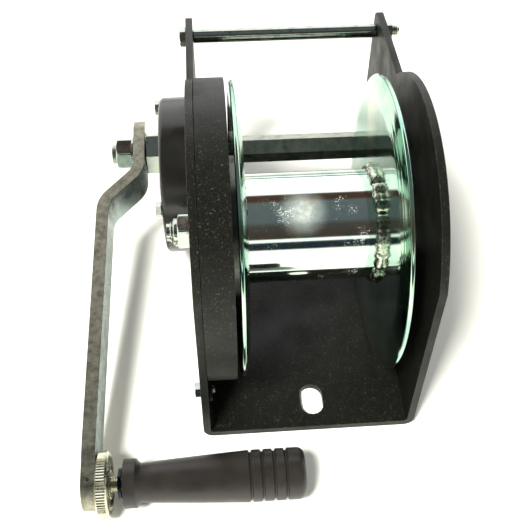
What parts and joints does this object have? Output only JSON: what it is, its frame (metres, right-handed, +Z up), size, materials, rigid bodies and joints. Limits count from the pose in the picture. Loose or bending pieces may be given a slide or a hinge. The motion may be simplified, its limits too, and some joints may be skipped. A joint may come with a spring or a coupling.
{
  "type": "hand winch",
  "caption": "Boat trailer hand winch: folded black frame, zinc rope drum with gear, covered brake, hexagonal drive shaft and a joggled crank with a turning grip.",
  "frame": {"origin": "on the underside of the base, straight below the drum axle and midway between the side plates", "axes": "+X along the drum axle away from the crank, +Y towards the tie rod at the rear, +Z up from the base"},
  "size_m": [0.1922, 0.2542, 0.1685],
  "materials": {
    "black_paint": "fine textured black powder coat",
    "black_moulding": "smooth semi-gloss black",
    "grip_plastic": "fine matt black",
    "zinc_sheet": "bright zinc plate",
    "zinc_bar": "zinc plate, rough sheared edges",
    "zinc_hardware": "bright zinc plate",
    "knurled_zinc": "yellowish zinc, straight knurl",
    "dull_steel": "dull mottled zinc",
    "white_nylon": "plain nylon",
    "brake_lining": "pressed friction material",
    "dark_clip": "blackened spring steel"
  },
  "bodies": {
    "winch_frame": {"frame": "black_paint", "gear_cover": "black_paint", "gear_cover_screw_front": "zinc_hardware", "gear_cover_screw_rear": "zinc_hardware", "brake_cover": "black_moulding", "brake_cover_screw_1": "zinc_hardware", "brake_cover_screw_2": "zinc_hardware", "brake_cover_screw_3": "zinc_hardware", "tie_sleeve": "zinc_hardware", "tie_bolt": "zinc_hardware", "tie_nut": "zinc_hardware", "axle_bolt": "zinc_hardware", "axle_nut": "zinc_hardware", "axle_washer_left": "zinc_hardware", "axle_washer_right": "zinc_hardware", "axle_sleeve": "zinc_hardware", "drum_spacer_left": "white_nylon", "drum_spacer_right": "white_nylon", "shaft_bush_left": "white_nylon", "shaft_bush_right": "white_nylon", "pawl_pin": "zinc_hardware", "pawl_spacer": "zinc_hardware", "pawl_clip": "zinc_hardware", "pawl_spring": "dull_steel"},
    "rope_drum": {"drum_tube": "zinc_sheet", "drum_flange_left": "zinc_sheet", "drum_flange_right": "zinc_sheet", "drum_gear": "dull_steel", "gear_spacer": "dull_steel", "drum_bush_left": "white_nylon", "drum_bush_right": "white_nylon"},
    "crank_handle": {"drive_shaft": "dull_steel", "pinion": "dull_steel", "brake_pressure_plate": "dull_steel", "friction_disc_inner": "brake_lining", "ratchet_wheel": "dull_steel", "friction_disc_outer": "brake_lining", "brake_hub": "dull_steel", "shaft_circlip": "dull_steel", "crank_arm": "zinc_bar", "crank_washer": "zinc_hardware", "crank_nut": "zinc_hardware", "grip_spindle": "zinc_hardware", "knurled_nut": "knurled_zinc", "spindle_washer": "zinc_hardware", "spindle_clip": "dark_clip"},
    "handle_grip": {"grip": "grip_plastic", "grip_end_cap": "grip_plastic"},
    "brake_pawl": {"pawl": "dull_steel"}
  },
  "joints": [
    {"name": "crank_turn", "type": "hinge", "parent": "winch_frame", "child": "crank_handle", "pos_m": [0, 0.09229, 0.0667], "axis": [-1, 0, 0], "continuous": true},
    {"name": "drum_spin", "type": "hinge", "parent": "winch_frame", "child": "rope_drum", "pos_m": [0, 0, 0.087], "axis": [-1, 0, 0], "continuous": true},
    {"name": "grip_spin", "type": "hinge", "parent": "crank_handle", "child": "handle_grip", "pos_m": [-0.05, -0.11199, 0.01805], "axis": [1, 0, 0], "continuous": true},
    {"name": "pawl_click", "type": "hinge", "parent": "winch_frame", "child": "brake_pawl", "pos_m": [-0.069, 0.05471, 0.08038], "axis": [1, 0, 0], "range_deg": [0, 18], "stiffness_Nm_per_rad": 0.02, "springref_deg": -20.05}
  ],
  "couplings": [
    {"joint": "drum_spin", "follows": "crank_turn", "ratio": -0.26}
  ]
}
